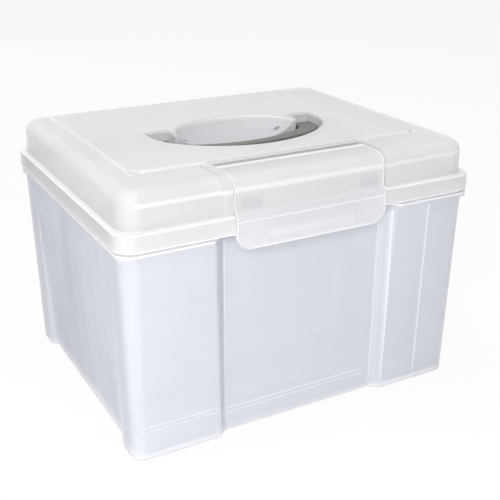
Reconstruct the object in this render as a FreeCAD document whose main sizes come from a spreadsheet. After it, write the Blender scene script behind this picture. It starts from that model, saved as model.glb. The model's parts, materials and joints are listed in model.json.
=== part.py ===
import FreeCAD, Part
import math
import os
import re
import Sketcher

# Photo storage box of frosted plastic: a tub with four corner columns, a domed lid hinged at the back,
# a wide front latch, a fold-flat carry handle in a well of the lid, and nine inner photo cases.
# Millimetres. X runs along the front, -Y is the front, +Z is up. The drawing's own centre is the
# middle of the lid's skirt, and every piece is placed so that the whole box is centred on the origin.

doc = FreeCAD.newDocument("photo_box")
sheet = doc.addObject("Spreadsheet::Sheet", "sheet")

DIMENSIONS = [
    # Outside of the whole box
    ("box_width", 270.0),
    ("skirt_depth", 220.0),
    ("box_height", 188.0),
    ("hinge_overhang", 5.0),
    # Lid
    ("lid_wall", 2.0),
    ("lid_height", 37.8),
    ("skirt_height", 11.6),
    ("skirt_corner", 13.0),
    ("shoulder_round", 1.2),
    ("dome_inset", 4.0),
    ("dome_corner", 14.0),
    ("dome_draft", 2.5),
    ("dome_round", 9.0),
    ("panel_rise", 2.0),
    ("panel_side_margin", 24.0),
    ("panel_front_margin", 38.5),
    ("panel_back_margin", 19.0),
    ("panel_corner", 9.0),
    ("panel_edge", 1.4),
    # Tub
    ("tub_wall", 2.2),
    ("tub_inset", 2.5),
    ("tub_draft", 1.1),
    ("tub_corner", 9.0),
    ("foot_round", 2.4),
    ("seat_gap", 0.3),
    ("underside_depth", 1.2),
    ("underside_rim", 3.0),
    ("floor_thick", 2.2),
    ("bead_height", 3.2),
    ("bead_width", 1.8),
    ("bead_gap", 1.8),
    # Faces set back between the four corner columns
    ("bay_width", 122.0),
    ("bay_recess", 9.0),
    ("bay_round", 4.0),
    ("panel_recess", 4.7),
    ("panel_drop", 31.5),
    ("side_column", 27.25),
    ("back_column", 35.25),
    ("column_slope", 45.0),
    ("cut_margin", 3.5),
    # Catch and latch
    ("catch_width", 62.0),
    ("catch_height", 10.0),
    ("catch_depth", 6.9),
    ("catch_drop", 4.0),
    ("catch_slope", 3.0),
    ("catch_gap", 1.0),
    ("rib_height", 2.6),
    ("latch_width", 114.0),
    ("latch_thick", 2.4),
    ("latch_side_gap", 1.0),
    ("latch_setback", 3.4),
    ("latch_proud", 0.3),
    ("latch_slot", 2.0),
    ("latch_barrel", 2.6),
    ("latch_round", 9.5),
    ("latch_pin", 1.5),
    ("pin_end_gap", 0.2),
    ("latch_floor_gap", 0.6),
    ("tongue_drop", 11.5),
    ("tongue_corner", 10.0),
    ("cheek_width", 7.0),
    ("cheek_rise", 1.0),
    # Handle and its well
    ("bow_half_width", 67.7),
    ("bow_front", 30.5),
    ("bow_side_radius", 22.0),
    ("grip_width", 9.0),
    ("arm_width", 14.7),
    ("arm_radius", 12.0),
    ("bow_thick", 5.5),
    ("bow_edge", 1.2),
    ("bow_gap", 1.0),
    ("bow_sink", 6.0),
    ("pivot_back", 4.75),
    ("handle_pin", 1.9),
    ("well_front", 53.5),
    ("well_side_radius", 42.0),
    ("well_depth", 12.5),
    ("pocket_back", 11.0),
    ("pocket_gap", 3.0),
    ("scoop_line", 3.5),
    ("scoop_width", 96.0),
    ("scoop_reach", 32.3),
    ("scoop_depth", 14.5),
    # Lid hinges
    ("hinge_spacing", 140.0),
    ("hinge_barrel", 3.5),
    ("hinge_pin", 1.8),
    ("hinge_drop", 4.2),
    ("knuckle_width", 22.0),
    ("ear_width", 6.0),
    ("hinge_side_gap", 0.5),
    ("running_gap", 0.05),
    # Inner photo cases
    ("case_height", 115.0),
    ("case_gap", 0.4),
    ("case_wall", 1.5),
    ("case_corner", 4.0),
    ("cover_depth", 7.0),
    ("cover_lip", 2.0),
    ("lip_gap", 0.3),
    ("tab_width", 26.0),
    ("tab_reach", 7.0),
    ("tab_thick", 1.2),
    ("case_side_clear", 0.4),
    ("case_far_clear", 1.5),
    ("case_front_clear", 14.5),
    ("case_back_clear", 15.35),
    ("side_case_back_clear", 18.35),
]
CASES_ACROSS = 6
CASES_ALONG = 3
TOLERANCE = 1e-3

for row, (alias, value) in enumerate(DIMENSIONS, start=1):
    sheet.set(f"A{row}", alias)
    sheet.set(f"B{row}", str(value))
    sheet.setAlias(f"B{row}", alias)
doc.recompute()


def ref(text):
    """Expression on the sheet: every word with an underscore is one of its cells."""
    return re.sub(r"\b([a-z]+(?:_[a-z]+)+)\b", r"sheet.\1", text)


def number(text):
    """Value of such an expression, in millimetres."""
    return float(sheet.evalExpression(ref(text)))


# Levels and lines that several pieces share
LID_TOP = "(box_height - panel_rise)"
SKIRT_BOTTOM = "(box_height - lid_height)"
SHOULDER = f"({SKIRT_BOTTOM} + skirt_height)"
RIM_TOP = f"({SHOULDER} - lid_wall - seat_gap)"
FLOOR_TOP = "(underside_depth + floor_thick)"
SKIRT_X = "(box_width / 2)"
SKIRT_Y = "(skirt_depth / 2)"
DOME_X = f"({SKIRT_X} - dome_inset)"
DOME_Y = f"({SKIRT_Y} - dome_inset)"
TUB_SPREAD = f"({RIM_TOP} * tan(tub_draft))"
TUB_X = f"({SKIRT_X} - tub_inset - {TUB_SPREAD})"
TUB_Y = f"({SKIRT_Y} - tub_inset - {TUB_SPREAD})"
BAY_Y = f"({SKIRT_Y} - tub_inset - bay_recess)"
BEAD_TOP = f"({SKIRT_BOTTOM} - bead_gap)"
CATCH_TOP = f"({RIM_TOP} - catch_drop)"
CATCH_Y = f"({BAY_Y} + catch_depth)"
PANEL_TILT = f"atan(panel_recess / ({RIM_TOP} - panel_drop) + tan(tub_draft))"
HINGE_Y = f"({SKIRT_Y} + hinge_overhang - hinge_barrel)"
HINGE_Z = f"({SKIRT_BOTTOM} - hinge_drop)"
PANEL_FRONT = f"({SKIRT_Y} - panel_front_margin)"
LATCH_BACK = f"({PANEL_FRONT} + latch_setback)"
LATCH_Y = f"({LATCH_BACK} + latch_slot + latch_barrel)"
LATCH_Z = f"({LID_TOP} - latch_barrel)"
LATCH_FRONT = f"({DOME_Y} + latch_proud)"
LATCH_HALF = "(latch_width / 2 + latch_side_gap)"
TONGUE_BOTTOM = f"({SKIRT_BOTTOM} - tongue_drop)"
TROUGH_Z = f"({LATCH_Z} - latch_barrel - latch_floor_gap)"
TROUGH_Y = f"({BAY_Y} + lid_wall / 2)"
WELL_FLOOR = "(box_height - well_depth)"
WELL_X = "(bow_half_width + bow_gap)"
ARM_X = "(bow_half_width - arm_width)"
BOW_TOP = "(box_height - bow_sink)"
PIVOT_Z = f"({BOW_TOP} - bow_thick / 2)"
INSIDE_X = f"({TUB_X} - panel_recess - tub_wall)"
INSIDE_FRONT = f"({BAY_Y} - tub_wall)"
INSIDE_DEPTH = f"({INSIDE_FRONT} + {TUB_Y} - panel_recess - tub_wall)"
CASE_PITCH = f"(({INSIDE_DEPTH} + case_gap - case_front_clear - case_back_clear) / {CASES_ACROSS})"
CASE_DEPTH = f"({CASE_PITCH} - case_gap)"
TRAY_DEPTH = f"({CASE_DEPTH} - cover_depth)"
CASE_LENGTH = f"(2 * {INSIDE_X} - case_side_clear - case_far_clear - {CASES_ALONG} * {CASE_PITCH})"
SIDE_CASE_LENGTH = f"({INSIDE_DEPTH} - case_front_clear - side_case_back_clear)"


def plane_of(body, role):
    """One of a body's own origin planes."""
    return next(item for item in body.Origin.OriginFeatures if item.Role == role)


def new_body(label):
    """Empty body, placed so that the hinges' overhang is shared between front and back."""
    body = doc.addObject("PartDesign::Body", label)
    body.Label = label
    body.setExpression("Placement.Base.y", ref("-hinge_overhang / 2"))
    return body


def new_sketch(body, name, role="XY_Plane", offset="0"):
    """Sketch on an origin plane, moved along the plane's normal."""
    sketch = body.newObject("Sketcher::SketchObject", name)
    sketch.AttachmentSupport = [(plane_of(body, role), "")]
    sketch.MapMode = "FlatFace"
    sketch.setExpression("AttachmentOffset.Base.z", ref(offset))
    return sketch


def bind(sketch, kind, name, text, *where):
    """Named dimension that follows the sheet."""
    index = sketch.addConstraint(Sketcher.Constraint(kind, *where, number(text)))
    sketch.renameConstraint(index, name)
    sketch.setExpression(f"Constraints.{name}", ref(text))


def polygon(sketch, corners):
    """Closed outline of straight lines, each corner tied to the sheet."""
    first = sketch.GeometryCount
    points = [FreeCAD.Vector(number(x), number(y), 0) for x, y in corners]
    count = len(points)
    for index, point in enumerate(points):
        sketch.addGeometry(Part.LineSegment(point, points[(index + 1) % count]), False)
    for index in range(count):
        following = first + (index + 1) % count
        sketch.addConstraint(Sketcher.Constraint("Coincident", first + index, 2, following, 1))
    for index, (x, y) in enumerate(corners):
        bind(sketch, "DistanceX", f"x{first + index}", x, -1, 1, first + index, 1)
        bind(sketch, "DistanceY", f"y{first + index}", y, -1, 1, first + index, 1)


def rounded_rectangle(sketch, left, right, front, back, radius):
    """Rectangle between four lines with equal round corners."""
    x0, x1, y0, y1, r = (number(text) for text in (left, right, front, back, radius))
    base = sketch.GeometryCount
    point = FreeCAD.Vector
    sides = [((x0 + r, y0), (x1 - r, y0)), ((x1, y0 + r), (x1, y1 - r)),
             ((x1 - r, y1), (x0 + r, y1)), ((x0, y1 - r), (x0, y0 + r))]
    for start, end in sides:
        sketch.addGeometry(Part.LineSegment(point(*start, 0), point(*end, 0)), False)
    centres = [(x1 - r, y0 + r), (x1 - r, y1 - r), (x0 + r, y1 - r), (x0 + r, y0 + r)]
    for index, centre in enumerate(centres):
        circle = Part.Circle(point(*centre, 0), point(0, 0, 1), r)
        start = (index - 1) * math.pi / 2
        sketch.addGeometry(Part.ArcOfCircle(circle, start, start + math.pi / 2), False)
    for index in range(4):
        arc = base + 4 + index
        following = base + (index + 1) % 4
        sketch.addConstraint(Sketcher.Constraint("Tangent", base + index, 2, arc, 1))
        sketch.addConstraint(Sketcher.Constraint("Tangent", arc, 2, following, 1))
    for index in range(3):
        sketch.addConstraint(Sketcher.Constraint("Equal", base + 4, base + 5 + index))
    sketch.addConstraint(Sketcher.Constraint("Horizontal", base))
    sketch.addConstraint(Sketcher.Constraint("Vertical", base + 1))
    bind(sketch, "DistanceY", f"front{base}", front, -1, 1, base, 1)
    bind(sketch, "DistanceX", f"right{base}", right, -1, 1, base + 1, 1)
    bind(sketch, "DistanceY", f"back{base}", back, -1, 1, base + 2, 1)
    bind(sketch, "DistanceX", f"left{base}", left, -1, 1, base + 3, 1)
    bind(sketch, "Radius", f"radius{base}", radius, base + 4)


def centred_rectangle(sketch, half_x, half_y, radius):
    """Rounded rectangle about the drawing's centre."""
    rounded_rectangle(sketch, f"-{half_x}", half_x, f"-{half_y}", half_y, radius)


def circle(sketch, x, y, radius):
    """Circle whose centre and radius follow the sheet."""
    centre = FreeCAD.Vector(number(x), number(y), 0)
    ring = Part.Circle(centre, FreeCAD.Vector(0, 0, 1), number(radius))
    index = sketch.addGeometry(ring, False)
    bind(sketch, "DistanceX", f"x{index}", x, -1, 1, index, 3)
    bind(sketch, "DistanceY", f"y{index}", y, -1, 1, index, 3)
    bind(sketch, "Radius", f"radius{index}", radius, index)


def extrude(kind, sketch, length, taper=None, symmetric=False, backwards=False):
    """Pad or Pocket of a sketch in the sketch's own body."""
    body = sketch.getParentGeoFeatureGroup()
    feature = body.newObject(f"PartDesign::{kind}", f"{sketch.Name}_{kind.lower()}")
    feature.Profile = sketch
    feature.setExpression("Length", ref(length))
    if taper:
        feature.setExpression("TaperAngle", ref(taper))
    if symmetric:
        feature.SideType = "Symmetric"
    feature.Reversed = backwards
    sketch.Visibility = False
    doc.recompute()
    return feature


def pad(sketch, length, **options):
    return extrude("Pad", sketch, length, **options)


def pocket(sketch, length, **options):
    """Pocket that has to take something away."""
    body = sketch.getParentGeoFeatureGroup()
    before = body.Tip.Shape.Volume
    feature = extrude("Pocket", sketch, length, **options)
    if not feature.Shape.Volume < before - TOLERANCE:
        raise RuntimeError(f"{feature.Name} cuts nothing")
    return feature


def round_edges(body, name, radius, wanted):
    """Fillet of every edge of the newest shape for which wanted(edge) is true."""
    tip = body.Tip
    names = [f"Edge{i}" for i, edge in enumerate(tip.Shape.Edges, start=1) if wanted(edge)]
    if not names:
        raise RuntimeError(f"{name} finds no edge")
    fillet = body.newObject("PartDesign::Fillet", name)
    fillet.Base = (tip, names)
    fillet.setExpression("Radius", ref(radius))
    doc.recompute()
    return fillet


def level_edge(height):
    """Test for edges that lie wholly at one height."""
    z = number(height)

    def wanted(edge):
        box = edge.BoundBox
        return abs(box.ZMin - z) < TOLERANCE and abs(box.ZMax - z) < TOLERANCE
    return wanted


def line_along_x(y, z):
    """Test for straight edges along X through a point of the side view."""
    y, z = number(y), number(z)

    def wanted(edge):
        box = edge.BoundBox
        flat = box.YLength < TOLERANCE and box.ZLength < TOLERANCE and box.XLength > TOLERANCE
        return flat and abs(box.YMin - y) < TOLERANCE and abs(box.ZMin - z) < TOLERANCE
    return wanted


def mirror_left(body, name, features):
    """Repeats features on the other side of the middle."""
    mirrored = body.newObject("PartDesign::Mirrored", name)
    mirrored.Originals = features
    mirrored.MirrorPlane = (plane_of(body, "YZ_Plane"), [""])
    body.Tip = mirrored
    doc.recompute()
    return mirrored


def set_back(body, name, role, offset, turn, length, wall):
    """Tilted panel between two corner columns: flush at its top and set back at the floor."""
    panel = new_sketch(body, name, role, offset)
    lean = FreeCAD.Rotation(FreeCAD.Vector(1, 0, 0), turn)
    panel.AttachmentOffset = FreeCAD.Placement(panel.AttachmentOffset.Base, lean)
    panel.setExpression("AttachmentOffset.Rotation.Angle", ref(f"{turn} * {PANEL_TILT}"))
    half = f"({length} / 2 + {wall} * tan(column_slope / 2))"
    polygon(panel, [(f"-{half}", "-cut_margin"), (half, "-cut_margin"),
                    (half, RIM_TOP), (f"-{half}", RIM_TOP)])
    return pocket(panel, "3 * panel_recess", taper="column_slope", backwards=turn > 0)


def front_bay(body, name, wall):
    """Deep bay in the middle of the front, open from the floor to the rim."""
    bay = new_sketch(body, name, "XZ_Plane", f"{BAY_Y} - {wall}")
    half = f"(bay_width / 2 + {wall} * tan(column_slope / 2))"
    polygon(bay, [(f"-{half}", "-cut_margin"), (half, "-cut_margin"),
                  (half, f"{RIM_TOP} + cut_margin"), (f"-{half}", f"{RIM_TOP} + cut_margin")])
    return pocket(bay, "3 * bay_recess", taper="column_slope", backwards=True)


def tub_form(body, name, bottom, wall):
    """Solid form of the tub from a height up, with every face moved in by a wall thickness."""
    inset = f"({wall} - {bottom} * tan(tub_draft))"
    outline = new_sketch(body, f"{name}_outline", offset=bottom)
    centred_rectangle(outline, f"({TUB_X} - {inset})", f"({TUB_Y} - {inset})", f"(tub_corner - {wall})")
    pad(outline, f"{RIM_TOP} - {bottom}", taper="tub_draft")
    front_bay(body, f"{name}_bay", wall)
    side_length = f"(2 * ({TUB_Y} - side_column))"
    back_length = f"(2 * ({TUB_X} - back_column))"
    depth = f"(panel_recess + {wall})"
    side = set_back(body, f"{name}_side", "YZ_Plane", f"{TUB_X} - {depth}", 1, side_length, wall)
    mirror_left(body, f"{name}_left_side", [side])
    set_back(body, f"{name}_back", "XZ_Plane", f"{depth} - {TUB_Y}", -1, back_length, wall)


def bay_edge(edge):
    """Test for the upright edges of the front bay."""
    box = edge.BoundBox
    upright = box.ZLength > number(f"{RIM_TOP} / 2")
    across = abs(box.Center.x) < number("bay_width / 2 + 2 * bay_recess")
    return upright and across and box.YMax < number(f"tub_wall - {BAY_Y}")


def hinge_ear(body, name, start, wall):
    """Ear with a round end that carries one end of a hinge pin."""
    ear = new_sketch(body, name, "YZ_Plane", start)
    root = f"({wall} - tub_wall / 2)"
    polygon(ear, [(root, f"{HINGE_Z} - 2 * hinge_barrel"), (HINGE_Y, f"{HINGE_Z} - hinge_barrel"),
                  (HINGE_Y, f"{HINGE_Z} + hinge_barrel"), (root, f"{HINGE_Z} + hinge_barrel")])
    end = new_sketch(body, f"{name}_end", "YZ_Plane", start)
    circle(end, HINGE_Y, HINGE_Z, "hinge_barrel")
    return [pad(ear, "ear_width"), pad(end, "ear_width")]


def make_tub():
    """Open tub between four corner columns, with a front bay, a rim bead, the catch and hinge ears."""
    core = doc.addObject("PartDesign::Body", "tub_core")
    tub_form(core, "inside", FLOOR_TOP, "tub_wall")
    body = new_body("tub")
    tub_form(body, "outside", "0", "0")
    round_edges(body, "bay_fillet", "bay_round", bay_edge)
    round_edges(body, "foot_fillet", "foot_round", level_edge("0"))
    hollow = body.newObject("PartDesign::Boolean", "tub_hollow")
    hollow.Type = "Cut"
    hollow.setObjects([core])
    doc.recompute()

    # The floor stands clear of the table inside a rim that joins the columns
    under = new_sketch(body, "tub_underside")
    side = f"({TUB_X} - panel_recess - underside_rim)"
    rounded_rectangle(under, f"-{side}", side, f"underside_rim - {BAY_Y}",
                      f"{TUB_Y} - panel_recess - underside_rim", "tub_corner - underside_rim")
    pocket(under, "underside_depth", backwards=True)

    # Bead below the lid's skirt, left out across the bay
    bead = new_sketch(body, "rim_bead", offset=f"{BEAD_TOP} - bead_height")
    reach = "(tub_inset - bead_width)"
    centred_rectangle(bead, f"({SKIRT_X} - {reach})", f"({SKIRT_Y} - {reach})", "(tub_corner + bead_width)")
    centred_rectangle(bead, f"({SKIRT_X} - tub_inset - tub_wall)", f"({SKIRT_Y} - tub_inset - tub_wall)",
                      "(tub_corner - tub_wall)")
    pad(bead, "bead_height")
    front_bay(body, "bead_bay", "0")

    catch = new_sketch(body, "latch_catch", "YZ_Plane")
    root = f"(tub_wall / 2 - {BAY_Y})"
    polygon(catch, [(root, CATCH_TOP), (f"catch_slope - {CATCH_Y}", CATCH_TOP),
                    (f"-{CATCH_Y}", f"{CATCH_TOP} - catch_slope"),
                    (f"-{CATCH_Y}", f"{CATCH_TOP} - catch_height"), (root, f"{CATCH_TOP} - catch_height")])
    pad(catch, "catch_width", symmetric=True)

    # Hinge ears with their moulded pins, in gaps of the bead
    gap = new_sketch(body, "bead_gap_at_hinge", offset=f"{BEAD_TOP} - bead_height")
    near = "(hinge_spacing / 2 - knuckle_width / 2 - hinge_side_gap)"
    far = "(hinge_spacing / 2 + knuckle_width / 2 + hinge_side_gap)"
    wall = f"({SKIRT_Y} - tub_inset)"
    beyond = f"({wall} + 2 * bead_width)"
    polygon(gap, [(near, wall), (far, wall), (far, beyond), (near, beyond)])
    hinge = [pocket(gap, "bead_height", backwards=True)]
    hinge += hinge_ear(body, "near_ear", f"{near} - ear_width", wall)
    hinge += hinge_ear(body, "far_ear", far, wall)
    pin = new_sketch(body, "hinge_pin_section", "YZ_Plane", f"{near} - ear_width / 2")
    circle(pin, HINGE_Y, HINGE_Z, "hinge_pin")
    hinge.append(pad(pin, f"{far} - {near} + ear_width"))
    mirror_left(body, "left_hinge", hinge)
    return body


def bow_curve(sketch, half, front, side_radius, end):
    """Open bow: two straight ends, two side arcs from the middle line on and a flat front arc, tangent."""
    spread = f"(({half} - {side_radius})^2 + {front}^2 - {side_radius}^2)"
    front_radius = f"({spread} / (2 * ({front} - {side_radius})))"
    x, y, r, reach, big = (number(text) for text in (half, front, side_radius, end, front_radius))
    base = sketch.GeometryCount
    point = FreeCAD.Vector
    up = point(0, 0, 1)
    middle = point(0, big - y, 0)
    angle = math.atan2(middle.y, x - r)
    sketch.addGeometry(Part.LineSegment(point(x, reach, 0), point(x, 0, 0)), False)
    sketch.addGeometry(Part.ArcOfCircle(Part.Circle(point(x - r, 0, 0), up, r), -angle, 0), False)
    sketch.addGeometry(Part.ArcOfCircle(Part.Circle(middle, up, big), angle - math.pi, -angle), False)
    left_circle = Part.Circle(point(r - x, 0, 0), up, r)
    sketch.addGeometry(Part.ArcOfCircle(left_circle, math.pi, math.pi + angle), False)
    sketch.addGeometry(Part.LineSegment(point(-x, 0, 0), point(-x, reach, 0)), False)
    right, right_arc, front_arc, left_arc, left = range(base, base + 5)
    for first, first_end, second, second_end in ((right, 2, right_arc, 2), (right_arc, 1, front_arc, 2),
                                                 (front_arc, 1, left_arc, 2), (left_arc, 1, left, 1)):
        sketch.addConstraint(Sketcher.Constraint("Tangent", first, first_end, second, second_end))
    for side in (right, left):
        sketch.addConstraint(Sketcher.Constraint("Vertical", side))
    for arc in (right_arc, left_arc):
        sketch.addConstraint(Sketcher.Constraint("PointOnObject", arc, 3, -1))
        bind(sketch, "Radius", f"side_radius{arc}", side_radius, arc)
    sketch.addConstraint(Sketcher.Constraint("PointOnObject", front_arc, 3, -2))
    bind(sketch, "Radius", f"front_radius{base}", front_radius, front_arc)
    bind(sketch, "DistanceX", f"half_width{base}", half, -1, 1, right, 1)
    bind(sketch, "DistanceY", f"end{base}", end, -1, 1, right, 1)
    bind(sketch, "DistanceY", f"end{left}", end, -1, 1, left, 2)
    return right, left


def join(sketch, start, start_end, corners, finish, finish_end):
    """Straight lines from one free end of an outline, by way of corners, to another free end."""
    ends = [sketch.getPoint(start, start_end), sketch.getPoint(finish, finish_end)]
    points = [ends[0]] + [FreeCAD.Vector(number(x), number(y), 0) for x, y in corners] + [ends[1]]
    previous, previous_end = start, start_end
    for index in range(len(points) - 1):
        line = sketch.addGeometry(Part.LineSegment(points[index], points[index + 1]), False)
        sketch.addConstraint(Sketcher.Constraint("Coincident", previous, previous_end, line, 1))
        if index < len(corners):
            bind(sketch, "DistanceX", f"x{line}", corners[index][0], -1, 1, line, 2)
            bind(sketch, "DistanceY", f"y{line}", corners[index][1], -1, 1, line, 2)
        previous, previous_end = line, 2
    sketch.addConstraint(Sketcher.Constraint("Coincident", previous, previous_end, finish, finish_end))


def well_outline(sketch, wall):
    """Outline of the handle's well with a pocket for each end of the handle, moved out by a wall."""
    end = f"(pocket_back + {wall})"
    inner = f"({ARM_X} - pocket_gap - {wall})"
    back = f"({wall} - scoop_line)"
    right, left = bow_curve(sketch, f"({WELL_X} + {wall})", f"(well_front + {wall})",
                            f"(well_side_radius + {wall})", end)
    join(sketch, right, 1, [(inner, end), (inner, back), (f"-{inner}", back), (f"-{inner}", end)], left, 2)


def ellipsoid(kind, body, name, wall):
    """Lower half of an ellipsoid under the lid's top, for the finger scoop."""
    dish = body.newObject(f"PartDesign::{kind}Ellipsoid", name)
    dish.setExpression("Radius1", ref(f"scoop_depth + {wall}"))
    dish.setExpression("Radius2", ref(f"scoop_width / 2 + {wall}"))
    dish.setExpression("Radius3", ref(f"scoop_reach + {wall}"))
    dish.Angle2 = 0
    dish.AttachmentSupport = [(plane_of(body, "XY_Plane"), "")]
    dish.MapMode = "FlatFace"
    dish.setExpression("AttachmentOffset.Base.y", ref("-scoop_line"))
    dish.setExpression("AttachmentOffset.Base.z", ref("box_height"))
    doc.recompute()
    return dish


def faces_at(feature, height):
    """Names of the faces that lie wholly at one height."""
    flat = level_edge(height)
    return [f"Face{i}" for i, face in enumerate(feature.Shape.Faces, start=1) if flat(face)]


def panel_outline(sketch, inset):
    """Outline of the lid's raised top panel, with its sides moved in."""
    half = f"({SKIRT_X} - panel_side_margin - {inset})"
    rounded_rectangle(sketch, f"-{half}", half, f"{inset} - {PANEL_FRONT}",
                      f"{SKIRT_Y} - panel_back_margin - {inset}", f"panel_corner - {inset}")


def shoulder_edge(edge):
    """Test for the upper outer edge of the lid's skirt."""
    box = edge.BoundBox
    beyond_x = max(-box.XMin, box.XMax) - number(DOME_X) > TOLERANCE
    beyond_y = max(-box.YMin, box.YMax) - number(DOME_Y) > TOLERANCE
    return (beyond_x or beyond_y) and level_edge(SHOULDER)(edge)


def make_lid():
    """Domed lid with its skirt, raised top panel, handle well, latch recess and hinge knuckles."""
    body = new_body("lid")
    skirt = new_sketch(body, "skirt_outline", offset=SKIRT_BOTTOM)
    centred_rectangle(skirt, SKIRT_X, SKIRT_Y, "skirt_corner")
    pad(skirt, "skirt_height")
    dome = new_sketch(body, "dome_outline", offset=SHOULDER)
    centred_rectangle(dome, DOME_X, DOME_Y, "dome_corner")
    pad(dome, f"{LID_TOP} - {SHOULDER}", taper="-dome_draft")
    solid = round_edges(body, "dome_fillet", "dome_round", level_edge(LID_TOP))
    shell = body.newObject("PartDesign::Thickness", "lid_shell")
    shell.Base = (solid, faces_at(solid, SKIRT_BOTTOM))
    shell.setExpression("Value", ref("lid_wall"))
    shell.Reversed = True
    doc.recompute()
    round_edges(body, "shoulder_fillet", "shoulder_round", shoulder_edge)
    panel = new_sketch(body, "top_panel", offset=f"{LID_TOP} - lid_wall / 2")
    panel_outline(panel, "0")
    pad(panel, "panel_rise + lid_wall / 2")
    round_edges(body, "panel_fillet", "panel_edge", level_edge("box_height"))
    raised = new_sketch(body, "top_panel_inside", offset=f"{LID_TOP} - lid_wall")
    panel_outline(raised, "lid_wall")
    pocket(raised, "panel_rise", backwards=True)

    # Cheeks either side of the latch stand a little proud of the dome
    cheek = new_sketch(body, "latch_cheek", "YZ_Plane", LATCH_HALF)
    front = f"(-{DOME_Y} - cheek_rise)"
    polygon(cheek, [(f"-{LATCH_BACK}", f"{LID_TOP} + cheek_rise"), (front, f"{LID_TOP} + cheek_rise"),
                    (front, SHOULDER), (f"lid_wall / 2 - {DOME_Y}", SHOULDER),
                    (f"lid_wall - {DOME_Y}", f"{LID_TOP} - dome_round"),
                    (f"dome_round - {DOME_Y}", f"{LID_TOP} - lid_wall / 2"),
                    (f"-{LATCH_BACK}", f"{LID_TOP} - lid_wall / 2")])
    right_cheek = pad(cheek, "cheek_width")
    mirror_left(body, "left_cheek", [right_cheek])
    round_edges(body, "cheek_fillet", "dome_round + cheek_rise",
                line_along_x(front, f"{LID_TOP} + cheek_rise"))

    # Recess of the latch: a walled trough, then its space, then the bores of the latch's pins
    trough = new_sketch(body, "latch_trough", "YZ_Plane")
    floor = f"{TROUGH_Z} - lid_wall"
    face = f"(lid_wall - {TROUGH_Y})"
    polygon(trough, [(f"lid_wall - {LATCH_BACK}", f"{LID_TOP} - lid_wall / 2"),
                     (f"lid_wall - {LATCH_BACK}", floor),
                     (face, floor), (face, f"{SHOULDER} - lid_wall"),
                     (f"lid_wall / 2 - {DOME_Y}", f"{SHOULDER} - lid_wall"),
                     (f"lid_wall / 2 - {DOME_Y}", f"{LID_TOP} - dome_round"),
                     (f"dome_round - {DOME_Y}", f"{LID_TOP} - lid_wall / 2")])
    pad(trough, f"2 * {LATCH_HALF} + 2 * lid_wall", symmetric=True)
    room = new_sketch(body, "latch_recess", "YZ_Plane")
    over = f"{LID_TOP} + panel_rise"
    polygon(room, [(f"-{LATCH_BACK}", over), (f"-{LATCH_BACK}", TROUGH_Z), (f"-{TROUGH_Y}", TROUGH_Z),
                   (f"-{TROUGH_Y}", SKIRT_BOTTOM), (f"-{SKIRT_Y}", SKIRT_BOTTOM), (f"-{SKIRT_Y}", over)])
    pocket(room, f"2 * {LATCH_HALF}", symmetric=True)
    bores = new_sketch(body, "latch_bore", "YZ_Plane")
    circle(bores, f"-{LATCH_Y}", LATCH_Z, "latch_pin + running_gap")
    pocket(bores, f"2 * {LATCH_HALF} + cheek_width", symmetric=True)

    # Handle well with a pocket for each end of the handle, and behind it a scoop for the fingers
    well_wall = new_sketch(body, "well_wall", offset=f"{WELL_FLOOR} - lid_wall")
    well_outline(well_wall, "lid_wall")
    pad(well_wall, "well_depth + lid_wall - panel_edge")
    ellipsoid("Additive", body, "scoop_wall", "lid_wall")
    well = new_sketch(body, "handle_well", offset=WELL_FLOOR)
    well_outline(well, "0")
    pocket(well, "well_depth", backwards=True)
    ellipsoid("Subtractive", body, "scoop", "0")
    pivots = new_sketch(body, "handle_bore", "YZ_Plane")
    circle(pivots, "pivot_back", PIVOT_Z, "handle_pin + running_gap")
    pocket(pivots, f"2 * ({WELL_X} + lid_wall)", symmetric=True)

    # Knuckles that hang from the back of the skirt
    arm = new_sketch(body, "knuckle_arm", "YZ_Plane", "hinge_spacing / 2 - knuckle_width / 2")
    root = f"({SKIRT_BOTTOM} + skirt_height / 2)"
    polygon(arm, [(f"{SKIRT_Y} - lid_wall", SKIRT_BOTTOM), (HINGE_Y, HINGE_Z),
                  (f"{HINGE_Y} + hinge_barrel", HINGE_Z), (SKIRT_Y, root), (f"{SKIRT_Y} - lid_wall", root)])
    arms = pad(arm, "knuckle_width")
    roll = new_sketch(body, "knuckle_roll", "YZ_Plane", "hinge_spacing / 2 - knuckle_width / 2")
    circle(roll, HINGE_Y, HINGE_Z, "hinge_barrel")
    rolls = pad(roll, "knuckle_width")
    eye = new_sketch(body, "knuckle_bore", "YZ_Plane", "hinge_spacing / 2 - knuckle_width / 2")
    circle(eye, HINGE_Y, HINGE_Z, "hinge_pin + running_gap")
    eyes = pocket(eye, "knuckle_width", backwards=True)
    mirror_left(body, "left_knuckle", [arms, rolls, eyes])
    return body


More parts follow.
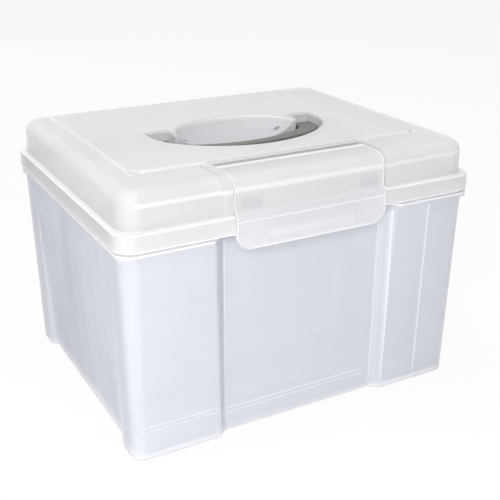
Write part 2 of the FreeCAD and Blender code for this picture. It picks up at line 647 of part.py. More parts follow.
def make_latch():
    """Wide latch that bends from its barrel over the dome's edge and down to the tongue."""
    body = new_body("latch")
    top = LID_TOP
    front = f"-{LATCH_FRONT}"
    tongue = f"-{SKIRT_Y}"
    side = new_sketch(body, "latch_side_view", "YZ_Plane")
    under = f"{top} - latch_thick"
    inner = f"latch_thick - {LATCH_FRONT}"
    tongue_inner = f"latch_thick - {SKIRT_Y}"
    polygon(side, [(f"-{LATCH_Y}", top), (front, top), (front, f"{SHOULDER} + latch_thick"),
                   (tongue, SHOULDER), (tongue, TONGUE_BOTTOM), (tongue_inner, TONGUE_BOTTOM),
                   (tongue_inner, f"{SHOULDER} - latch_thick / 2"),
                   (inner, f"{SHOULDER} + latch_thick / 2"), (inner, under), (f"-{LATCH_Y}", under)])
    pad(side, "latch_width", symmetric=True)
    round_edges(body, "latch_bend", "latch_round", line_along_x(front, top))
    round_edges(body, "latch_inner_bend", "latch_round - latch_thick", line_along_x(inner, under))

    def tongue_corner(edge):
        box = edge.BoundBox
        low = abs(box.ZMin - number(TONGUE_BOTTOM)) < TOLERANCE
        return low and box.XLength < TOLERANCE and box.ZLength < TOLERANCE and box.YLength > TOLERANCE
    round_edges(body, "tongue_corners", "tongue_corner", tongue_corner)
    barrel = new_sketch(body, "latch_barrel_section", "YZ_Plane")
    circle(barrel, f"-{LATCH_Y}", LATCH_Z, "latch_barrel")
    pad(barrel, "latch_width", symmetric=True)
    pin = new_sketch(body, "latch_pin_section", "YZ_Plane")
    circle(pin, f"-{LATCH_Y}", LATCH_Z, "latch_pin")
    pad(pin, f"2 * ({LATCH_HALF} + lid_wall - pin_end_gap)", symmetric=True)
    rib = new_sketch(body, "latch_rib", "YZ_Plane")
    tip = f"(-{CATCH_Y} - catch_gap)"
    height = f"({CATCH_TOP} - catch_height)"
    root = f"latch_thick / 2 - {SKIRT_Y}"
    polygon(rib, [(root, height), (tip, f"{height} - rib_height / 4"),
                  (tip, f"{height} - rib_height / 2"), (root, f"{height} - rib_height")])
    pad(rib, "catch_width", symmetric=True)
    return body


def make_handle():
    """Flat carry bow, wider at its arms, with round pivot ends and a pin at each end."""
    body = new_body("handle")
    bow = new_sketch(body, "handle_outline", offset=f"{BOW_TOP} - bow_thick")
    outer_right, outer_left = bow_curve(bow, "bow_half_width", "bow_front", "bow_side_radius", "pivot_back")
    inner_right, inner_left = bow_curve(bow, ARM_X, "(bow_front - grip_width)", "arm_radius", "pivot_back")
    join(bow, outer_right, 1, [], inner_right, 1)
    join(bow, outer_left, 2, [], inner_left, 2)
    pad(bow, "bow_thick")

    def bow_edge(edge):
        box = edge.BoundBox
        return box.ZLength < TOLERANCE and box.YLength > TOLERANCE
    round_edges(body, "bow_fillet", "bow_edge", bow_edge)
    end = new_sketch(body, "handle_end", "YZ_Plane", ARM_X)
    circle(end, "pivot_back", PIVOT_Z, "bow_thick / 2")
    right_end = pad(end, "arm_width")
    pin = new_sketch(body, "handle_pin_section", "YZ_Plane", "bow_half_width - arm_width / 2")
    circle(pin, "pivot_back", PIVOT_Z, "handle_pin")
    right_pin = pad(pin, "arm_width / 2 + bow_gap + lid_wall - pin_end_gap")
    mirror_left(body, "left_end", [right_end, right_pin])
    return body


def case_outline(sketch, length, inset, radius):
    """Upright face of a case, standing on its long edge at the origin, with its walls moved in."""
    half = f"({length} / 2 - {inset})"
    rounded_rectangle(sketch, f"-{half}", half, inset, f"case_height - {inset}", radius)


def make_case(name, length, x, y, turned):
    """Photo case of a deep tray and a shallow push-fit cover, standing on the tub's floor."""
    tray = doc.addObject("PartDesign::Body", f"{name}_tray")
    shell = new_sketch(tray, f"{name}_tray_outline", "XZ_Plane", f"-{CASE_DEPTH}")
    case_outline(shell, length, "0", "case_corner")
    pad(shell, TRAY_DEPTH)
    inside = new_sketch(tray, f"{name}_tray_inside", "XZ_Plane", f"case_wall - {CASE_DEPTH}")
    case_outline(inside, length, "case_wall", "case_corner / 2")
    pocket(inside, TRAY_DEPTH, backwards=True)

    cover = doc.addObject("PartDesign::Body", f"{name}_cover")
    front = new_sketch(cover, f"{name}_cover_outline", "XZ_Plane", "-cover_depth")
    case_outline(front, length, "0", "case_corner")
    pad(front, "cover_depth")
    lip = new_sketch(cover, f"{name}_cover_lip", "XZ_Plane", "-cover_depth - cover_lip")
    case_outline(lip, length, "(case_wall + lip_gap)", "case_corner / 2")
    pad(lip, "cover_depth + cover_lip - case_wall")
    hollow = new_sketch(cover, f"{name}_cover_inside", "XZ_Plane", "-cover_depth - cover_lip")
    case_outline(hollow, length, "(2 * case_wall + lip_gap)", "case_corner / 3")
    pocket(hollow, "cover_depth + cover_lip - case_wall", backwards=True)
    tab = new_sketch(cover, f"{name}_cover_tab", "XY_Plane", "case_height")
    reach = "cover_depth + tab_reach"
    polygon(tab, [("-tab_width / 2", "0"), ("tab_width / 2", "0"),
                  ("tab_width / 2", reach), ("-tab_width / 2", reach)])
    pad(tab, "tab_thick")

    for piece in (tray, cover):
        piece.Label = piece.Name
        piece.setExpression("Placement.Base.x", ref(x))
        piece.setExpression("Placement.Base.y", ref(f"{y} - hinge_overhang / 2"))
        piece.setExpression("Placement.Base.z", ref(FLOOR_TOP))
        if turned:
            piece.Placement.Rotation = FreeCAD.Rotation(FreeCAD.Vector(0, 0, 1), 90)
    doc.recompute()
    return [tray, cover]


def make_cases():
    """A row of cases one behind the other, and more turned a quarter beside them."""
    left = f"(case_side_clear - {INSIDE_X})"
    first = f"(case_front_clear - {INSIDE_FRONT})"
    bodies = []
    for index in range(CASES_ACROSS):
        x = f"{left} + {CASE_LENGTH} / 2"
        y = f"{first} + {index} * {CASE_PITCH}"
        bodies += make_case(f"case_{index + 1}", CASE_LENGTH, x, y, False)
    for index in range(CASES_ALONG):
        x = f"{left} + {CASE_LENGTH} + {index + 1} * {CASE_PITCH}"
        y = f"{first} + {SIDE_CASE_LENGTH} / 2"
        bodies += make_case(f"side_case_{index + 1}", SIDE_CASE_LENGTH, x, y, True)
    return bodies


def write_steps(bodies):
    """Checks every object and writes each piece to its own file."""
    doc.recompute()
    failed = [item.Name for item in doc.Objects if {"Invalid", "Error"} & set(item.State)]
    if failed:
        raise RuntimeError(f"failed objects: {failed}")
    os.makedirs("parts", exist_ok=True)
    for body in bodies:
        shape = body.Shape
        if shape.isNull() or not shape.isValid() or len(shape.Solids) != 1:
            raise RuntimeError(f"{body.Label}: {len(shape.Solids)} solids, valid {shape.isValid()}")
        shape.exportStep(f"parts/{body.Label}.step")


write_steps([make_tub(), make_lid(), make_latch(), make_handle()] + make_cases())
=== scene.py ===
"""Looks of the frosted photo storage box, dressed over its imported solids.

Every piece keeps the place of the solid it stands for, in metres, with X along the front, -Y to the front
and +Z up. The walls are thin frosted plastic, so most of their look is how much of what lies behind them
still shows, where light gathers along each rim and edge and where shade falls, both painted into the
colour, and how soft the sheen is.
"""

import json
import math

import bpy
import numpy as np
from mathutils import Matrix, Vector

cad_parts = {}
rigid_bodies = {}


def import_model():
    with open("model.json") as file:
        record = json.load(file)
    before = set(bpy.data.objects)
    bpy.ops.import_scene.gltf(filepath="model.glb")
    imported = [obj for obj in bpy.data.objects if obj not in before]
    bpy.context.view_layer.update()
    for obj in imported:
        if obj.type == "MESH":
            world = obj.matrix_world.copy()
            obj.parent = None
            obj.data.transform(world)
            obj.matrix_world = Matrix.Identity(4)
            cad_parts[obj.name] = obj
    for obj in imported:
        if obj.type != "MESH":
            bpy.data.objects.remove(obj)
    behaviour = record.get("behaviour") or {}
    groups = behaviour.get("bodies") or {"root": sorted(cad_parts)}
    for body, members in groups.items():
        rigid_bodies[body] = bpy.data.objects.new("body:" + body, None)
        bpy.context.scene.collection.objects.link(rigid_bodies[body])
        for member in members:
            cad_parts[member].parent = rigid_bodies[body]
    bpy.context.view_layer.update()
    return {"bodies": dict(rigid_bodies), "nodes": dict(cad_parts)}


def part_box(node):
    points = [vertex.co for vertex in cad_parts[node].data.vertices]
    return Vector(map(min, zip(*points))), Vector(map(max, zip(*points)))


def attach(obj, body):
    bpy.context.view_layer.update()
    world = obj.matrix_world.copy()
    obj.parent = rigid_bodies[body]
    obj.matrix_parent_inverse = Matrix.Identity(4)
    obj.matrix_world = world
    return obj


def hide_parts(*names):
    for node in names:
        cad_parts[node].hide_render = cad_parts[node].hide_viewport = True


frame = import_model()

# Heights on the box that finishes refer to, in metres
FLOOR_LINE = 0.0255
FLOOR_LINE_GAP = 0.0034
BAY_FLOOR_DROP = 0.007
LEDGE_LINE = 0.1365
TONGUE_LOW = 0.1387
BEAD_LOW = 0.1452
BEAD_HIGH = 0.1484
STRIP_LINE = 0.1465
SKIRT_BOTTOM = 0.1502
FOLD_LINE = 0.1575
RIM_TOP = 0.1595
SHOULDER = 0.1618
CHEEK_LINE = 0.168
RECESS_FLOOR = 0.168
BROW_LINE = 0.1775
LID_TOP = 0.186
PANEL_TOP = 0.188

# Places to either side of the middle
STRIP_HALF = 0.032
CHEEK_INNER = 0.037
CHEEK_OUTER = 0.0525
LATCH_HALF = 0.057
BAY_EDGE = 0.0675
BAY_SLOPE = 0.007
WELL_HALF = 0.0925
FAR_CASE_EDGE = 0.0975
PANEL_HALF = 0.111
SCOOP_HALF = 0.048

# Places along the depth, where the front is negative
MARGIN_LINE = -0.1025
FRONT_WALL = -0.0965
BARREL_LINE = -0.0845
COLUMN_LINE = -0.081
SLOT_LINE = -0.0778
PANEL_FRONT = -0.074
WELL_FRONT = -0.068
SCOOP_MIDDLE = -0.006
SCOOP_REACH = 0.0323

# Upright cases: first front face, pitch, and the width of their denser rims
CASE_FRONT = -0.0843
CASE_PITCH = 0.0274
CASE_RIM = 0.0024

# Colours of the plastics, of the painted highlights and lines on them (BRIGHT), of their painted shade and
# darker tone (SHADE), and of the paper floor
TUB_MILK = (0.91, 0.93, 1.0, 1.0)
TUB_BRIGHT = (0.985, 0.987, 0.995, 1.0)
TUB_SHADE = (0.50, 0.51, 0.58, 1.0)
LID_MILK = (0.925, 0.928, 0.942, 1.0)
LID_BRIGHT = (0.987, 0.987, 0.995, 1.0)
LID_SHADE = (0.48, 0.48, 0.52, 1.0)
LATCH_SHADE = (0.50, 0.51, 0.56, 1.0)
HANDLE_DARK = (0.10, 0.10, 0.088, 1.0)
HANDLE_PALE = (0.15, 0.15, 0.135, 1.0)
WHITE = (1.0, 1.0, 1.0, 1.0)
COOL_DAYLIGHT = (0.95, 0.97, 1.0, 1.0)
FLOOR_PAPER = (0.95, 0.95, 0.95, 1.0)
LAMP_COLOUR = (1.0, 0.99, 0.97)

# Plastic's refraction, and the eased edge of the handle and the cases
PLASTIC_IOR = 1.49
HANDLE_IOR = 1.5
EASED_EDGE = 0.0006
SHARP_ANGLE = math.radians(32)
BEVEL_ANGLE = math.radians(40)

# Studio
SURROUND_STRENGTH = 0.38
FLOOR_HALF = 3.0
FLOOR_WHITE_SHARE = 0.88
LAMP_AIM = Vector((0.0, 0.0, 0.09))

# Camera, found by fitting the box's printed sizes and edges to the 500 x 500 picture
PICTURE_SIZE = 500
SENSOR_WIDTH = 36.0
FOCAL_PIXELS = 868.5
CAMERA_AZIMUTH = math.radians(-28.95)
CAMERA_ELEVATION = math.radians(22.58)
CAMERA_ROLL = math.radians(0.25)
CAMERA_DISTANCE = 0.6865
CAMERA_TARGET = Vector((0.0142, 0.0, 0.0848))


class Value:
    """A number that varies over a surface, held as a node socket, with Python's own arithmetic."""

    def __init__(self, nodes, socket):
        self.nodes = nodes
        self.socket = socket

    def math(self, operation, *others):
        return self.nodes.node("ShaderNodeMath", {"operation": operation}, (self,) + others)

    def __add__(self, other):
        return self.math("ADD", other)

    def __sub__(self, other):
        return self.math("SUBTRACT", other)

    def __mul__(self, other):
        return self.math("MULTIPLY", other)

    def __truediv__(self, other):
        return self.math("DIVIDE", other)

    def __rsub__(self, other):
        return self.nodes.node("ShaderNodeMath", {"operation": "SUBTRACT"}, (other, self))

    __radd__ = __add__
    __rmul__ = __mul__

    def clip(self):
        return self.nodes.node("ShaderNodeClamp", {}, (self, 0.0, 1.0))

    def size(self):
        return self.math("ABSOLUTE")

    def larger(self, other):
        return self.math("MAXIMUM", other)

    def rise(self, start, end):
        """Goes from 0 at start to 1 at end in a smooth S, whichever of the two is larger."""
        settings = {"interpolation_type": "SMOOTHSTEP"}
        if start < end:
            sockets = (self, start, end, 0.0, 1.0)
        else:
            sockets = (self, end, start, 1.0, 0.0)
        return self.nodes.node("ShaderNodeMapRange", settings, sockets)

    def band(self, centre, half):
        """1 on a line of the surface, easing to 0 at a half width either side."""
        return (self - centre).size().rise(half, 0.0)


class Nodes:
    """A node tree, with one method that adds any node."""

    def __init__(self, tree):
        self.tree = tree

    def link(self, socket, value):
        if isinstance(value, Value):
            self.tree.links.new(value.socket, socket)
        else:
            socket.default_value = value

    def node(self, kind, settings=None, sockets=(), output=0):
        """Adds a node: its settings first, then the values or links of its sockets, in order or by name."""
        made = self.tree.nodes.new(kind)
        for key, value in (settings or {}).items():
            setattr(made, key, value)
        pairs = sockets.items() if isinstance(sockets, dict) else enumerate(sockets)
        for key, value in pairs:
            self.link(made.inputs[key], value)
        return Value(self, made.outputs[output])

    def seen_white(self):
        """1 for rays that show the background: from the camera, in gloss and through clear plastic."""
        rays = [self.node("ShaderNodeLightPath", output=f"Is {kind} Ray")
                for kind in ("Camera", "Transmission", "Glossy")]
        return rays[0].larger(rays[1]).larger(rays[2])

    def surface(self, output, unused, share, first, second):
        """Mixes two shaders into the tree's output, and takes away the shader it came with."""
        self.tree.nodes.remove(self.tree.nodes[unused])
        mixed = self.node("ShaderNodeMixShader", {}, (share, first, second))
        self.link(self.tree.nodes[output].inputs["Surface"], mixed)


class Finish(Nodes):
    """One material's nodes around a single shader."""

    def __init__(self, name):
        self.material = bpy.data.materials.new(name)
        self.material.use_nodes = True
        super().__init__(self.material.node_tree)
        self.shader = self.tree.nodes["Principled BSDF"]
        self.place = self.node("ShaderNodeTexCoord", output="Object")
        self.x, self.y, self.z = (self.node("ShaderNodeSeparateXYZ", {}, (self.place,), output=axis)
                                  for axis in "XYZ")

    def noise(self, scale, detail=2.0, rough=0.5, stretch=(1.0, 1.0, 1.0)):
        """Cloudy noise from 0 to 1, its cells about one over scale metres, drawn out along an axis."""
        place = self.node("ShaderNodeMapping", {}, {"Vector": self.place, "Scale": stretch})
        sockets = {"Vector": place, "Scale": scale, "Detail": detail, "Roughness": rough}
        return self.node("ShaderNodeTexNoise", {}, sockets)

    def blend(self, share, first, second):
        """Colour that goes from the first to the second as share goes from 0 to 1."""
        settings = {"data_type": "RGBA"}
        sockets = {0: share, 6: first, 7: second}
        return self.node("ShaderNodeMix", settings, sockets, output=2)

    def bump(self, height, strength, distance):
        sockets = {"Strength": strength, "Distance": distance, "Height": height}
        return self.node("ShaderNodeBump", {}, sockets)

    def set(self, **sockets):
        names = {"colour": "Base Color", "rough": "Roughness", "alpha": "Alpha", "normal": "Normal",
                 "ior": "IOR"}
        for key, value in sockets.items():
            self.link(self.shader.inputs[names[key]], value)
        return self.material


def grey(level, cool=0.0):
    """Neutral colour, made cooler by taking red away and adding blue."""
    return (level * (1.0 - cool), level, level * (1.0 + 1.2 * cool), 1.0)


def frosted_tub():
    """Milky wall with painted highlights on the bead, rim lines and bay edges, a brighter floor line, and
    painted shade under the bead, by the bay edges, to the right of the front and toward the back of the
    side walls.

    Lines are bands of one coordinate kept to one face. Streaks on the side walls are what the upright cases
    behind them leave, softened by the plastic, with painted shade between them.
    """
    f = Finish("frosted_tub")
    clouds = f.noise(22.0, 3.0)
    layers = f.noise(42.0, 2.0, 0.5, (0.12, 0.12, 1.0))
    streaks = f.noise(70.0, 2.0, 0.6, (0.2, 1.0, 0.05))
    grain = f.noise(2600.0, 2.0, 0.6)
    aside = f.x.size()
    front = f.y.rise(FRONT_WALL + 0.0025, FRONT_WALL - 0.0025)
    flank = aside.rise(0.119, 0.124) * f.y.rise(-0.1, -0.094)
    # Painted shade that repeats with the pitch of the upright cases, darkest between their front faces
    between = (((f.y - CASE_FRONT) / CASE_PITCH).math("FRACT") - 0.5).size().rise(0.5, 0.3)
    upright = f.z.rise(0.004, 0.012) * f.z.rise(BEAD_LOW, BEAD_LOW - 0.003)

    # Painted highlights along the rim lines, the bead and the bay's edges; the floor line and the far
    # case's edge are lines that show through the front
    rims = f.z.band(SKIRT_BOTTOM - 0.0018, 0.0006).larger(f.z.rise(RIM_TOP - 0.0012, RIM_TOP - 0.0004))
    bead = f.z.band(BEAD_HIGH - 0.0006, 0.0012)
    bay = (aside.band(BAY_EDGE, 0.0009) * 0.6).larger(aside.band(BAY_EDGE - BAY_SLOPE, 0.0009) * 0.5)
    bay = bay * upright
    in_bay = aside.rise(BAY_EDGE + 0.0015, BAY_EDGE - 0.0015)
    above_floor = f.z + in_bay * BAY_FLOOR_DROP - FLOOR_LINE
    floor = above_floor.band(0.0, 0.0009).larger(above_floor.band(-FLOOR_LINE_GAP, 0.0009) * 0.7)
    floor = floor * f.x.rise(BAY_EDGE - 0.006, BAY_EDGE - 0.022) * f.x.rise(-0.126, -0.12)
    far_case = f.x.band(FAR_CASE_EDGE, 0.0012) * upright
    bright = rims.larger(bead * 0.8).larger(bay.larger(floor * 0.55).larger(far_case * 0.8) * front)

    # Painted shade in thin lines under the bead and beside the bay's edges
    shade_under_bead = f.z.band(BEAD_LOW - 0.001, 0.0008) * 0.45
    bay_shade = aside.band(BAY_EDGE - 0.0028, 0.001) * upright * front * 0.4
    column = f.y.band(COLUMN_LINE, 0.0017) * flank * upright * 0.75
    ledge = f.z.band(LEDGE_LINE, 0.0005) * flank * f.y.band(0.0, 0.045) * 0.5
    # Painted shade, greyer toward the right of the front and toward the back of the side walls
    right_and_back_shade = f.x.rise(0.07, 0.128) * front * 0.22 + f.y.rise(-0.085, 0.09) * flank * 0.2
    # Streaks stand for the upright cases behind the side walls, with painted shade between them; bands
    # across the front and random tone add to it
    shade_and_tone = right_and_back_shade + ((streaks - 0.5) * 1.6 + between * 0.16) * flank
    shade_and_tone = shade_and_tone + (layers - 0.5) * front * 0.22 + clouds * 0.05
    dark = shade_and_tone.larger(shade_under_bead.larger(bay_shade).larger(column).larger(ledge)) * (1.0 - bright)
    colour = f.blend(bright, TUB_MILK, TUB_BRIGHT)
    colour = f.blend(dark.clip(), colour, TUB_SHADE)
    alpha = (0.55 + clouds * 0.05 + bright * 0.4 + dark * 0.2).clip()
    rough = (0.36 + clouds * 0.12).clip()
    return f.set(colour=colour, alpha=alpha, rough=rough, ior=PLASTIC_IOR,
                 normal=f.bump(grain, 0.08, 0.00012))


def frosted_lid():
    """Milky lid with painted highlights on its rim lines and top edges, and painted shade behind the latch,
    on the left front, the lower sides and the oval dish.
    """
    f = Finish("frosted_lid")
    clouds = f.noise(18.0, 3.0)
    ripple = f.noise(90.0, 2.0, 0.5, (0.12, 1.0, 1.0))
    grain = f.noise(2600.0, 2.0, 0.6)
    aside = f.x.size()
    on_top = f.z.rise(LID_TOP - 0.0012, LID_TOP - 0.0002)

    # Painted highlights on the skirt's bottom edge, the shoulder, the raised top's edges, the well's front
    # lip and the rounded front edge
    rims = f.z.band(SKIRT_BOTTOM + 0.0004, 0.0008).larger(f.z.band(SHOULDER - 0.0003, 0.0009))
    sides = aside.band(PANEL_HALF, 0.0009) * f.y.rise(PANEL_FRONT - 0.001, PANEL_FRONT)
    ahead = f.y.band(PANEL_FRONT, 0.0008) * aside.rise(PANEL_HALF + 0.001, PANEL_HALF)
    ahead = ahead * (0.2 + aside.rise(LATCH_HALF, LATCH_HALF + 0.004) * 0.5)
    panel_edge_highlight = sides.larger(ahead) * on_top
    well = aside.rise(WELL_HALF + 0.0025, WELL_HALF - 0.0025)
    well = well * f.y.rise(WELL_FRONT - 0.002, WELL_FRONT + 0.002)
    lip_highlight = f.z.band(PANEL_TOP - 0.0011, 0.0012) * well
    brow_highlight = f.z.band(BROW_LINE, 0.0024) * f.y.rise(-0.1055, -0.1075) * 0.55
    bright = (rims * 0.8).larger(panel_edge_highlight * 0.7).larger(lip_highlight).larger(brow_highlight)

    # Painted shade in the gap behind the latch, in front of the raised top's front edge, on the left front
    # margin, on the skirt's sides and in the oval dish, with a ripple there
    slot_shade = f.y.band(SLOT_LINE, 0.0016) * aside.rise(LATCH_HALF + 0.001, LATCH_HALF - 0.001)
    slot_shade = slot_shade * f.z.rise(RECESS_FLOOR, RECESS_FLOOR + 0.004)
    shade_before_panel = f.y.band(PANEL_FRONT - 0.0022, 0.0014) * on_top
    shade_before_panel = shade_before_panel * aside.rise(PANEL_HALF, PANEL_HALF - 0.01)
    margin_shade = f.y.band(MARGIN_LINE, 0.0045) * f.x.rise(-0.119, -0.114) * f.x.rise(-0.07, -0.076)
    skirt_side_shade = aside.rise(0.128, 0.133) * f.z.rise(SHOULDER, SHOULDER - 0.001) * f.y.rise(-0.1, -0.09) * 0.3
    across = (aside / SCOOP_HALF).math("POWER", 2.0)
    along = ((f.y - SCOOP_MIDDLE).size() / SCOOP_REACH).math("POWER", 2.0)
    reach = across + along
    scoop_shade = reach.rise(1.02, 0.9) * f.z.rise(LID_TOP, LID_TOP - 0.002) * (0.36 + ripple * 0.22)
    dark = slot_shade.larger(shade_before_panel * 0.22).larger(margin_shade * 0.16).larger(skirt_side_shade).larger(scoop_shade)
    dark = (dark + clouds * 0.04) * (1.0 - bright)
    colour = f.blend(bright, LID_MILK, LID_BRIGHT)
    colour = f.blend(dark.clip(), colour, LID_SHADE)
    alpha = (0.56 + bright * 0.4 + dark * 0.2).clip()
    rough = (0.44 + clouds * 0.1).clip()
    return f.set(colour=colour, alpha=alpha, rough=rough, ior=PLASTIC_IOR,
                 normal=f.bump(grain, 0.08, 0.00012))


def frosted_latch():
    """Milky latch with painted highlights on its edges, bend, hinge roll and rounded top, and painted shade
    over the hollows by the lid's cheeks.
    """
    f = Finish("frosted_latch")
    clouds = f.noise(24.0, 3.0)
    grain = f.noise(2600.0, 2.0, 0.6)
    aside = f.x.size()
    # Painted highlights on the lower and side edges, the bend, the hinge roll and the rounded top edge,
    # with a lighter strip across the tongue
    lip_highlight = f.z.rise(TONGUE_LOW + 0.0014, TONGUE_LOW + 0.0004)
    lip_highlight = lip_highlight.larger(aside.rise(LATCH_HALF - 0.0012, LATCH_HALF))
    fold_highlight = f.z.band(FOLD_LINE, 0.0008) * f.y.rise(-0.104, -0.106)
    barrel_highlight = f.y.band(BARREL_LINE, 0.0045) * f.z.rise(0.1815, 0.1835)
    strip = f.x.rise(-STRIP_HALF - 0.001, -STRIP_HALF + 0.0005) * f.x.rise(STRIP_HALF, STRIP_HALF - 0.0015)
    strip = strip * f.z.band(STRIP_LINE, 0.0045) * 0.25
    brow_highlight = f.z.band(BROW_LINE, 0.003) * f.y.rise(-0.103, -0.106) * 0.6
    bright = lip_highlight.larger(brow_highlight).larger(fold_highlight * 0.8).larger(barrel_highlight * 0.8).larger(strip)
    # Painted shade over the hollows by the lid's cheeks, seen through the latch
    cheek_shade = aside.rise(CHEEK_INNER - 0.001, CHEEK_INNER + 0.001)
    cheek_shade = cheek_shade * aside.rise(CHEEK_OUTER + 0.001, CHEEK_OUTER - 0.001)
    cheek_shade = cheek_shade * f.z.band(CHEEK_LINE, 0.0065) * 0.28
    dark = (cheek_shade + clouds * 0.06) * (1.0 - bright)
    colour = f.blend(bright, grey(0.935, 0.014), grey(0.988, 0.006))
    colour = f.blend(dark.clip(), colour, LATCH_SHADE)
    alpha = (0.50 + bright * 0.4).clip()
    rough = (0.32 + clouds * 0.1).clip()
    return f.set(colour=colour, alpha=alpha, rough=rough, ior=PLASTIC_IOR,
                 normal=f.bump(grain, 0.08, 0.00012))


def case_plastic(name, low, high):
    """Thin clear plastic, denser along the twelve edges of the box between its low and high corners."""
    f = Finish(name)
    clouds = f.noise(30.0, 2.0)
    near = []
    for place, start, end in zip((f.x, f.y, f.z), low, high):
        half = (end - start) / 2
        near.append((place - (start + end) / 2).size().rise(half - CASE_RIM, half - CASE_RIM / 2))
    rim = (near[0] * near[1]).larger(near[1] * near[2]).larger(near[2] * near[0])
    colour = f.blend(rim, grey(0.94, 0.02), grey(0.985, 0.01))
    alpha = (0.10 + clouds * 0.06 + rim * 0.5).clip()
    return f.set(colour=colour, alpha=alpha, rough=0.3, ior=PLASTIC_IOR)


def handle_plastic():
    """Olive-grey satin plastic with a fine moulded grain."""
    f = Finish("handle_plastic")
    clouds = f.noise(60.0, 3.0)
    grain = f.noise(1800.0, 2.0, 0.6)
    colour = f.blend(clouds, HANDLE_DARK, HANDLE_PALE)
    rough = (0.36 + clouds * 0.14).clip()
    return f.set(colour=colour, rough=rough, ior=HANDLE_IOR, normal=f.bump(grain, 0.15, 0.0001))


def moulded(name, body, material, nodes, edge):
    """Copy of solids with their doubles merged, smooth over round faces and eased along sharp edges."""
    points, faces, first = [], [], 0
    for node in nodes:
        mesh = frame["nodes"][node].data
        co = np.empty(len(mesh.vertices) * 3, np.float32)
        mesh.vertices.foreach_get("co", co)
        corners = np.empty(len(mesh.loops), np.int32)
        mesh.loops.foreach_get("vertex_index", corners)
        keys = np.round(co.reshape(-1, 3), 7)
        merged, index = np.unique(keys, axis=0, return_inverse=True)
        triangles = index.reshape(-1)[corners].reshape(-1, 3)
        area = (triangles[:, 0] != triangles[:, 1]) & (triangles[:, 1] != triangles[:, 2])
        area &= triangles[:, 2] != triangles[:, 0]
        points.append(merged)
        faces.append(triangles[area] + first)
        first += len(merged)
    mesh = bpy.data.meshes.new(name)
    mesh.from_pydata(np.concatenate(points).tolist(), [], np.concatenate(faces).tolist())
    mesh.polygons.foreach_set("use_smooth", np.ones(len(mesh.polygons), bool))
    mesh.set_sharp_from_angle(angle=SHARP_ANGLE)
    mesh.update()
    piece = bpy.data.objects.new(name, mesh)
    bpy.context.scene.collection.objects.link(piece)
    piece.data.materials.append(material)
    if edge:
        bevel = piece.modifiers.new("edge", "BEVEL")
        bevel.width = edge
        bevel.segments = 2
        bevel.limit_method = "ANGLE"
        bevel.angle_limit = BEVEL_ANGLE
        bevel.harden_normals = True
    weighted = piece.modifiers.new("flat_faces", "WEIGHTED_NORMAL")
    weighted.weight = 100
    weighted.keep_sharp = True
    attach(piece, body)
    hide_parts(*nodes)
    return piece


def dress():
    """Puts a finish on every solid: four moulded pieces, and each case as one piece of tray and cover."""
    moulded("tub_shell", "tub", frosted_tub(), ["tub"], 0)
    moulded("lid_shell", "lid", frosted_lid(), ["lid"], 0)
    moulded("latch_flap", "latch", frosted_latch(), ["latch"], 0)
    moulded("carry_bow", "handle", handle_plastic(), ["handle"], EASED_EDGE)
    for body in frame["bodies"]:
        if "case" in body:
            nodes = [f"{body}_tray", f"{body}_cover"]
            corners = np.array([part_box(node) for node in nodes])
            low = corners[:, 0].min(axis=0)
            high = corners[:, 1].max(axis=0)
            plastic = case_plastic(f"{body}_plastic", low, high)
            moulded(f"{body}_box", body, plastic, nodes, EASED_EDGE)


def surroundings():
    """World that is plain white to look at and a weaker cool daylight to light with."""
    world = bpy.data.worlds.new("surroundings")
    world.use_nodes = True
    bpy.context.scene.world = world
    nodes = Nodes(world.node_tree)
    lit = nodes.node("ShaderNodeBackground", {}, {"Color": COOL_DAYLIGHT, "Strength": SURROUND_STRENGTH})
    white = nodes.node("ShaderNodeBackground", {}, {"Color": WHITE, "Strength": 1.0})
    nodes.surface("World Output", "Background", nodes.seen_white(), lit, white)


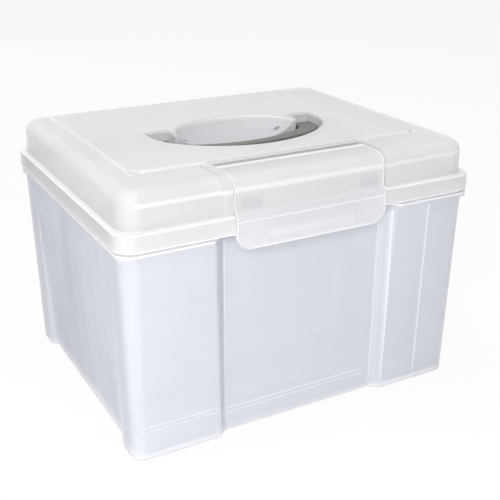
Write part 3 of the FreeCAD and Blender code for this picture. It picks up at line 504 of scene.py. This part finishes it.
def paper_floor():
    """Flat square of pale paper, mostly white to look at, which keeps a share of the box's shadow."""
    corners = np.array([(-1, -1, 0), (1, -1, 0), (1, 1, 0), (-1, 1, 0)]) * FLOOR_HALF
    mesh = bpy.data.meshes.new("floor")
    mesh.from_pydata(corners.tolist(), [], [(0, 1, 2, 3)])
    ground = bpy.data.objects.new("floor", mesh)
    bpy.context.scene.collection.objects.link(ground)
    paper = bpy.data.materials.new("floor_paper")
    paper.use_nodes = True
    nodes = Nodes(paper.node_tree)
    matt = nodes.node("ShaderNodeBsdfDiffuse", {}, {"Color": FLOOR_PAPER})
    white = nodes.node("ShaderNodeEmission", {}, {"Color": WHITE, "Strength": 1.0})
    share = nodes.seen_white() * FLOOR_WHITE_SHARE
    nodes.surface("Material Output", "Principled BSDF", share, matt, white)
    mesh.materials.append(paper)


def studio():
    """White surroundings, pale floor and soft lamps."""
    surroundings()
    paper_floor()
    lamp("key", (-0.47, -0.78, 0.62), 0.55, 5.1)
    lamp("over", (-0.05, 0.1, 1.6), 1.4, 10.8)
    lamp("side", (-0.36, -0.30, 0.10), 0.2, 0.2)
    lamp("behind", (-0.4, 1.4, 0.5), 1.2, 3.2)


def lamp(name, place, size, power):
    """Round soft lamp at a place in metres, turned to the middle of the box."""
    light = bpy.data.lights.new(name, "AREA")
    light.shape = "DISK"
    light.size = size
    light.energy = power
    light.color = LAMP_COLOUR
    made = bpy.data.objects.new(name, light)
    bpy.context.scene.collection.objects.link(made)
    made.location = place
    aim = LAMP_AIM - Vector(place)
    made.rotation_mode = "QUATERNION"
    made.rotation_quaternion = aim.to_track_quat("-Z", "Y")


def camera():
    """Camera at the fitted angle, its axes turned by the fitted roll."""
    azimuth, elevation = CAMERA_AZIMUTH, CAMERA_ELEVATION
    back = Vector((math.sin(azimuth) * math.cos(elevation), -math.cos(azimuth) * math.cos(elevation),
                   math.sin(elevation)))
    right = Vector((math.cos(azimuth), math.sin(azimuth), 0.0))
    up = back.cross(right)
    across = math.cos(CAMERA_ROLL) * right + math.sin(CAMERA_ROLL) * up
    over = math.cos(CAMERA_ROLL) * up - math.sin(CAMERA_ROLL) * right
    data = bpy.data.cameras.new("camera")
    data.sensor_width = SENSOR_WIDTH
    data.lens = FOCAL_PIXELS / PICTURE_SIZE * SENSOR_WIDTH
    data.clip_start = 0.01
    data.clip_end = 20.0
    made = bpy.data.objects.new("camera", data)
    bpy.context.scene.collection.objects.link(made)
    axes = Matrix((across, over, back)).transposed().to_4x4()
    made.matrix_world = Matrix.Translation(CAMERA_TARGET + back * CAMERA_DISTANCE) @ axes
    bpy.context.scene.camera = made


dress()
studio()
camera()
bpy.context.scene.view_settings.view_transform = "Standard"
